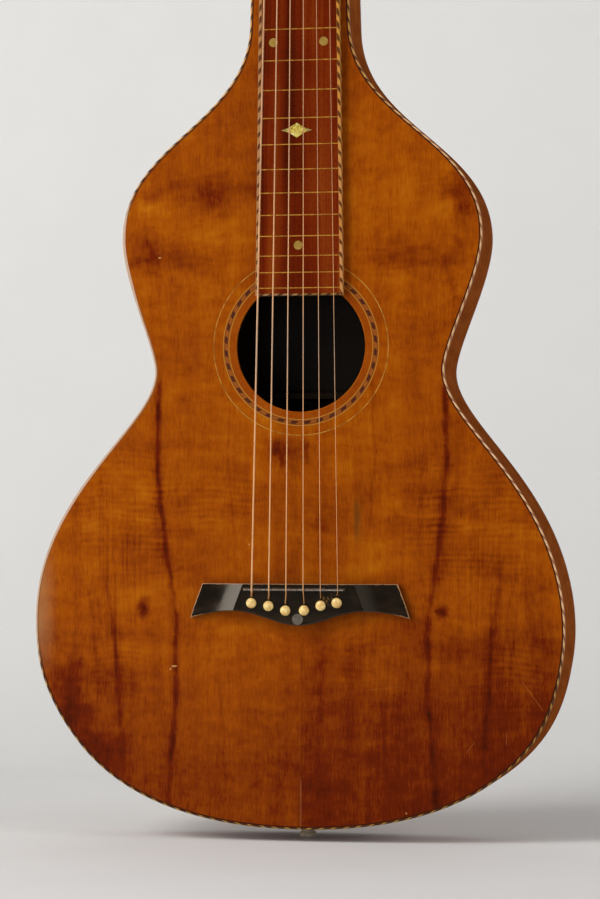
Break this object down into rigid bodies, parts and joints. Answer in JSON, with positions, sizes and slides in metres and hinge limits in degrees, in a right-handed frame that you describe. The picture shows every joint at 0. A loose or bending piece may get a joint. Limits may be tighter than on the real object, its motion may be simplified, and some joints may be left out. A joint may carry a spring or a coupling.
{
  "type": "hawaiian lap guitar",
  "caption": "Hollow-neck Hawaiian lap guitar with koa body, rope binding, flush frets, pin bridge and open worm-gear tuners",
  "frame": {"origin": "The point in the head's throat where a wall hanger holds the guitar, in the middle of its width", "axes": "X to the treble side, Y from the soundboard to the back, Z along the neck to the head; the soundboard faces -Y"},
  "size_m": [0.385, 0.094, 0.983],
  "materials": {
    "koa": "gloss lacquer, worn",
    "side_koa": "gloss lacquer, worn",
    "mahogany": "bare",
    "spruce": "bare",
    "maple": "bare",
    "rosewood": "oiled",
    "ebony": "polished",
    "rope_wood": "polished marquetry",
    "ivory": "polished",
    "bone": "satin",
    "nickel": "dulled plating",
    "steel": "drawn wire",
    "bronze": "wound wire"
  },
  "bodies": {
    "frame": {"soundboard": "koa", "back": "koa", "headstock": "koa", "side_bass": "side_koa", "side_treble": "side_koa", "tail_block": "mahogany", "top_lining_bass": "mahogany", "top_lining_treble": "mahogany", "back_lining_bass": "mahogany", "back_lining_treble": "mahogany", "x_brace_bass": "spruce", "x_brace_treble": "spruce", "upper_brace": "spruce", "tone_bar": "spruce", "back_brace_lower": "spruce", "back_brace_waist": "spruce", "back_brace_upper": "spruce", "bridge_plate": "maple", "bridge": "ebony", "saddle": "steel", "fingerboard": "rosewood", "fingerboard_binding_bass": "rope_wood", "fingerboard_binding_treble": "rope_wood", "rope_binding_bass": "rope_wood", "rope_binding_treble": "rope_wood", "rosette_rope_ring": "rope_wood", "nut": "bone", "end_pin": "ivory", "tuner_strip_bass": "nickel", "tuner_strip_treble": "nickel", "string_1": "steel", "string_2": "steel", "string_3": "steel", "string_4": "bronze", "string_5": "bronze", "string_6": "bronze"},
    "worm_1": {"tuner_worm_1": "nickel", "tuner_button_1": "ivory"},
    "post_1": {"tuner_post_1": "nickel"},
    "pin_1": {"bridge_pin_1": "ivory"},
    "worm_2": {"tuner_worm_2": "nickel", "tuner_button_2": "ivory"},
    "post_2": {"tuner_post_2": "nickel"},
    "pin_2": {"bridge_pin_2": "ivory"},
    "worm_3": {"tuner_worm_3": "nickel", "tuner_button_3": "ivory"},
    "post_3": {"tuner_post_3": "nickel"},
    "pin_3": {"bridge_pin_3": "ivory"},
    "worm_4": {"tuner_worm_4": "nickel", "tuner_button_4": "ivory"},
    "post_4": {"tuner_post_4": "nickel"},
    "pin_4": {"bridge_pin_4": "ivory"},
    "worm_5": {"tuner_worm_5": "nickel", "tuner_button_5": "ivory"},
    "post_5": {"tuner_post_5": "nickel"},
    "pin_5": {"bridge_pin_5": "ivory"},
    "worm_6": {"tuner_worm_6": "nickel", "tuner_button_6": "ivory"},
    "post_6": {"tuner_post_6": "nickel"},
    "pin_6": {"bridge_pin_6": "ivory"}
  },
  "joints": [
    {"name": "worm_1_turn", "type": "hinge", "parent": "frame", "child": "worm_1", "pos_m": [0.0215, 0.01378, 0.01562], "axis": [1, 0, 0], "continuous": true},
    {"name": "post_1_turn", "type": "hinge", "parent": "frame", "child": "post_1", "pos_m": [0.0215, -0.00444, 0.02899], "axis": [0, 0.9781, -0.2079], "continuous": true},
    {"name": "pin_1_pull", "type": "slide", "parent": "frame", "child": "pin_1", "axis": [0, -1, 0], "range_m": [0, 0.025]},
    {"name": "worm_2_turn", "type": "hinge", "parent": "frame", "child": "worm_2", "pos_m": [0.0215, 0.02168, 0.05278], "axis": [1, 0, 0], "continuous": true},
    {"name": "post_2_turn", "type": "hinge", "parent": "frame", "child": "post_2", "pos_m": [0.0215, 0.00347, 0.06616], "axis": [0, 0.9781, -0.2079], "continuous": true},
    {"name": "pin_2_pull", "type": "slide", "parent": "frame", "child": "pin_2", "axis": [0, -1, 0], "range_m": [0, 0.025]},
    {"name": "worm_3_turn", "type": "hinge", "parent": "frame", "child": "worm_3", "pos_m": [0.0215, 0.02958, 0.08995], "axis": [1, 0, 0], "continuous": true},
    {"name": "post_3_turn", "type": "hinge", "parent": "frame", "child": "post_3", "pos_m": [0.0215, 0.01137, 0.10333], "axis": [0, 0.9781, -0.2079], "continuous": true},
    {"name": "pin_3_pull", "type": "slide", "parent": "frame", "child": "pin_3", "axis": [0, -1, 0], "range_m": [0, 0.025]},
    {"name": "worm_4_turn", "type": "hinge", "parent": "frame", "child": "worm_4", "pos_m": [-0.0215, 0.02958, 0.08995], "axis": [-1, 0, 0], "continuous": true},
    {"name": "post_4_turn", "type": "hinge", "parent": "frame", "child": "post_4", "pos_m": [-0.0215, 0.01137, 0.10333], "axis": [0, 0.9781, -0.2079], "continuous": true},
    {"name": "pin_4_pull", "type": "slide", "parent": "frame", "child": "pin_4", "axis": [0, -1, 0], "range_m": [0, 0.025]},
    {"name": "worm_5_turn", "type": "hinge", "parent": "frame", "child": "worm_5", "pos_m": [-0.0215, 0.02168, 0.05278], "axis": [-1, 0, 0], "continuous": true},
    {"name": "post_5_turn", "type": "hinge", "parent": "frame", "child": "post_5", "pos_m": [-0.0215, 0.00347, 0.06616], "axis": [0, 0.9781, -0.2079], "continuous": true},
    {"name": "pin_5_pull", "type": "slide", "parent": "frame", "child": "pin_5", "axis": [0, -1, 0], "range_m": [0, 0.025]},
    {"name": "worm_6_turn", "type": "hinge", "parent": "frame", "child": "worm_6", "pos_m": [-0.0215, 0.01378, 0.01562], "axis": [-1, 0, 0], "continuous": true},
    {"name": "post_6_turn", "type": "hinge", "parent": "frame", "child": "post_6", "pos_m": [-0.0215, -0.00444, 0.02899], "axis": [0, 0.9781, -0.2079], "continuous": true},
    {"name": "pin_6_pull", "type": "slide", "parent": "frame", "child": "pin_6", "axis": [0, -1, 0], "range_m": [0, 0.025]}
  ],
  "couplings": [
    {"joint": "post_1_turn", "follows": "worm_1_turn", "ratio": 0.0625},
    {"joint": "post_2_turn", "follows": "worm_2_turn", "ratio": 0.0625},
    {"joint": "post_3_turn", "follows": "worm_3_turn", "ratio": 0.0625},
    {"joint": "post_4_turn", "follows": "worm_4_turn", "ratio": 0.0625},
    {"joint": "post_5_turn", "follows": "worm_5_turn", "ratio": 0.0625},
    {"joint": "post_6_turn", "follows": "worm_6_turn", "ratio": 0.0625}
  ]
}
